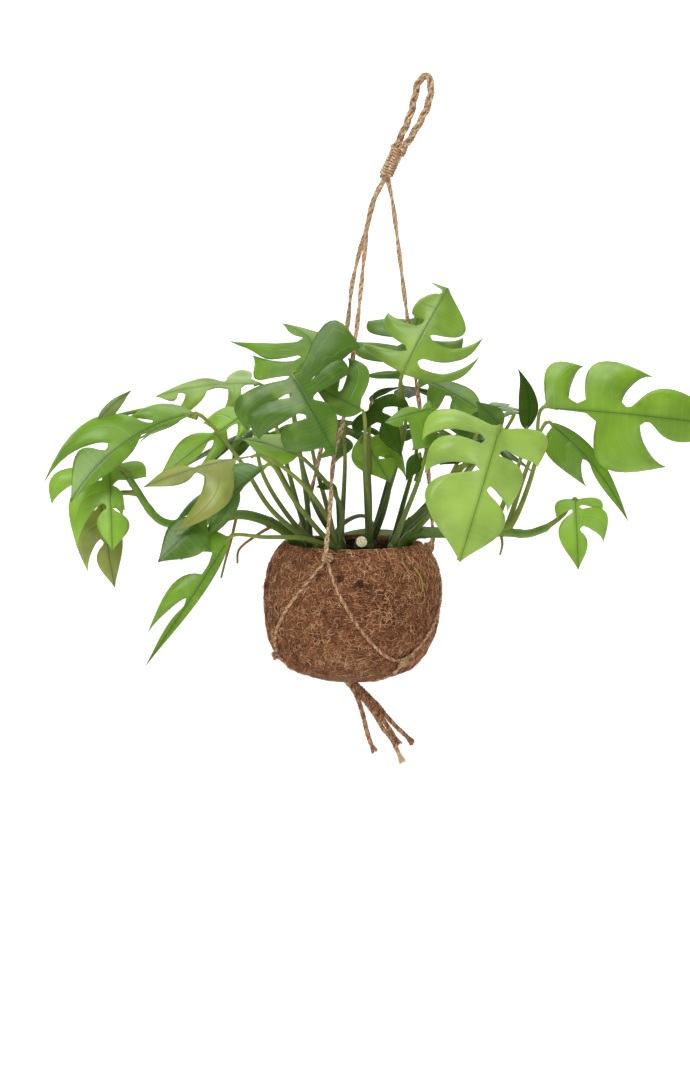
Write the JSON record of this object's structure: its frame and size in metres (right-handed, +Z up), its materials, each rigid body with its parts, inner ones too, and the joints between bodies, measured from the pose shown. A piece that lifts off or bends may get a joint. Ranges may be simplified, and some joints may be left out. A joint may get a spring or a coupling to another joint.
{
  "type": "hanging kokedama plant",
  "caption": "Young split-leaf climbing plant in a ball of soil wrapped in brown coconut fibre, hung in a knotted net of jute cord with a loop above and frayed ends below.",
  "frame": {"origin": "top of the hanging loop, on the line that the loop hangs from", "axes": "+Z up, +X to the right and +Y away from the picture's camera"},
  "size_m": [0.586, 0.2581, 0.5925],
  "materials": {
    "coir": "matted coconut fibre",
    "soil": "dark damp soil",
    "leaf": "smooth living leaf with a soft sheen",
    "cut_wood": "pale dry cut end",
    "jute": "twisted jute"
  },
  "bodies": {
    "root": {"coir_wrap": "coir", "soil_ball": "soil", "leafy_stem_left_front": "leaf", "leafy_stem_left_back": "leaf", "leafy_stem_left_runner": "leaf", "leafy_stem_front": "leaf", "leafy_stem_middle": "leaf", "leafy_stem_centre": "leaf", "leafy_stem_right_front": "leaf", "leafy_stem_upright": "leaf", "leafy_stem_right_back": "leaf", "leafy_stem_right_runner": "leaf", "leafy_stem_back": "leaf", "cut_stem": "cut_wood", "loop_cord_front": "jute", "loop_cord_middle": "jute", "loop_cord_back": "jute", "whipping": "jute", "leg_right": "jute", "leg_left_back": "jute", "leg_front": "jute", "shoulder_knot_right": "jute", "net_strand_right_a": "jute", "net_strand_right_b": "jute", "lower_knot_right": "jute", "base_run_right": "jute", "shoulder_knot_left_back": "jute", "net_strand_left_back_a": "jute", "net_strand_left_back_b": "jute", "lower_knot_left_back": "jute", "base_run_left_back": "jute", "shoulder_knot_front": "jute", "net_strand_front_a": "jute", "net_strand_front_b": "jute", "lower_knot_front": "jute", "base_run_front": "jute", "base_knot": "jute", "tail_left": "jute", "tail_long": "jute", "tail_short": "jute", "tail_right": "jute"}
  },
  "joints": []
}
